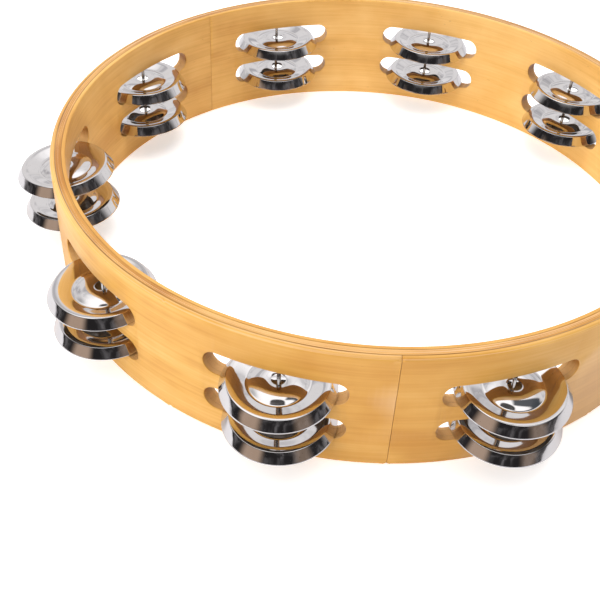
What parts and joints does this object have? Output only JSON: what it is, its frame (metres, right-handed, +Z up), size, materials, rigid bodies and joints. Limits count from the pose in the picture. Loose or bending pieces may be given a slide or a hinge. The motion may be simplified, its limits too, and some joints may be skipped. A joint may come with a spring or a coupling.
{
  "type": "tambourine",
  "caption": "Headless wooden hoop tambourine, bent plies with two rows of slots and loose domed metal jingles on upright steel pins.",
  "frame": {"origin": "centre of the hoop on the plane of its bottom rim", "axes": "+Z up along the hoop's axis; the slots repeat every 36 degrees about Z, and -Y is the side seen nearest"},
  "size_m": [0.2844, 0.2824, 0.0508],
  "materials": {
    "outer_ply": "honey lacquer, glossy",
    "core_ply": "lacquered ply edge",
    "inner_ply": "honey lacquer, glossy",
    "pin_steel": "bright wire",
    "jingle_nickel": "polished nickel plate"
  },
  "bodies": {
    "hoop": {"outer_ply": "outer_ply", "core_ply": "core_ply", "inner_ply": "inner_ply", "pin_1": "pin_steel", "pin_2": "pin_steel", "pin_3": "pin_steel", "pin_4": "pin_steel", "pin_5": "pin_steel", "pin_6": "pin_steel", "pin_7": "pin_steel", "pin_8": "pin_steel", "pin_9": "pin_steel", "pin_10": "pin_steel"},
    "lower_jingle_1": {"lower_jingle_1": "jingle_nickel"},
    "lower_jingle_2": {"lower_jingle_2": "jingle_nickel"},
    "lower_jingle_3": {"lower_jingle_3": "jingle_nickel"},
    "lower_jingle_4": {"lower_jingle_4": "jingle_nickel"},
    "lower_jingle_5": {"lower_jingle_5": "jingle_nickel"},
    "lower_jingle_6": {"lower_jingle_6": "jingle_nickel"},
    "lower_jingle_7": {"lower_jingle_7": "jingle_nickel"},
    "lower_jingle_8": {"lower_jingle_8": "jingle_nickel"},
    "lower_jingle_9": {"lower_jingle_9": "jingle_nickel"},
    "lower_jingle_10": {"lower_jingle_10": "jingle_nickel"},
    "upper_jingle_1": {"upper_jingle_1": "jingle_nickel"},
    "upper_jingle_2": {"upper_jingle_2": "jingle_nickel"},
    "upper_jingle_3": {"upper_jingle_3": "jingle_nickel"},
    "upper_jingle_4": {"upper_jingle_4": "jingle_nickel"},
    "upper_jingle_5": {"upper_jingle_5": "jingle_nickel"},
    "upper_jingle_6": {"upper_jingle_6": "jingle_nickel"},
    "upper_jingle_7": {"upper_jingle_7": "jingle_nickel"},
    "upper_jingle_8": {"upper_jingle_8": "jingle_nickel"},
    "upper_jingle_9": {"upper_jingle_9": "jingle_nickel"},
    "upper_jingle_10": {"upper_jingle_10": "jingle_nickel"}
  },
  "joints": [
    {"name": "lower_jingle_1_rise", "type": "slide", "parent": "hoop", "child": "lower_jingle_1", "axis": [0, 0, 1], "range_m": [0, 0.004]},
    {"name": "lower_jingle_2_rise", "type": "slide", "parent": "hoop", "child": "lower_jingle_2", "axis": [0, 0, 1], "range_m": [0, 0.004]},
    {"name": "lower_jingle_3_rise", "type": "slide", "parent": "hoop", "child": "lower_jingle_3", "axis": [0, 0, 1], "range_m": [0, 0.004]},
    {"name": "lower_jingle_4_rise", "type": "slide", "parent": "hoop", "child": "lower_jingle_4", "axis": [0, 0, 1], "range_m": [0, 0.004]},
    {"name": "lower_jingle_5_rise", "type": "slide", "parent": "hoop", "child": "lower_jingle_5", "axis": [0, 0, 1], "range_m": [0, 0.004]},
    {"name": "lower_jingle_6_rise", "type": "slide", "parent": "hoop", "child": "lower_jingle_6", "axis": [0, 0, 1], "range_m": [0, 0.004]},
    {"name": "lower_jingle_7_rise", "type": "slide", "parent": "hoop", "child": "lower_jingle_7", "axis": [0, 0, 1], "range_m": [0, 0.004]},
    {"name": "lower_jingle_8_rise", "type": "slide", "parent": "hoop", "child": "lower_jingle_8", "axis": [0, 0, 1], "range_m": [0, 0.004]},
    {"name": "lower_jingle_9_rise", "type": "slide", "parent": "hoop", "child": "lower_jingle_9", "axis": [0, 0, 1], "range_m": [0, 0.004]},
    {"name": "lower_jingle_10_rise", "type": "slide", "parent": "hoop", "child": "lower_jingle_10", "axis": [0, 0, 1], "range_m": [0, 0.004]},
    {"name": "upper_jingle_1_rise", "type": "slide", "parent": "hoop", "child": "upper_jingle_1", "axis": [0, 0, 1], "range_m": [0, 0.004]},
    {"name": "upper_jingle_2_rise", "type": "slide", "parent": "hoop", "child": "upper_jingle_2", "axis": [0, 0, 1], "range_m": [0, 0.004]},
    {"name": "upper_jingle_3_rise", "type": "slide", "parent": "hoop", "child": "upper_jingle_3", "axis": [0, 0, 1], "range_m": [0, 0.004]},
    {"name": "upper_jingle_4_rise", "type": "slide", "parent": "hoop", "child": "upper_jingle_4", "axis": [0, 0, 1], "range_m": [0, 0.004]},
    {"name": "upper_jingle_5_rise", "type": "slide", "parent": "hoop", "child": "upper_jingle_5", "axis": [0, 0, 1], "range_m": [0, 0.004]},
    {"name": "upper_jingle_6_rise", "type": "slide", "parent": "hoop", "child": "upper_jingle_6", "axis": [0, 0, 1], "range_m": [0, 0.004]},
    {"name": "upper_jingle_7_rise", "type": "slide", "parent": "hoop", "child": "upper_jingle_7", "axis": [0, 0, 1], "range_m": [0, 0.004]},
    {"name": "upper_jingle_8_rise", "type": "slide", "parent": "hoop", "child": "upper_jingle_8", "axis": [0, 0, 1], "range_m": [0, 0.004]},
    {"name": "upper_jingle_9_rise", "type": "slide", "parent": "hoop", "child": "upper_jingle_9", "axis": [0, 0, 1], "range_m": [0, 0.004]},
    {"name": "upper_jingle_10_rise", "type": "slide", "parent": "hoop", "child": "upper_jingle_10", "axis": [0, 0, 1], "range_m": [0, 0.004]}
  ]
}
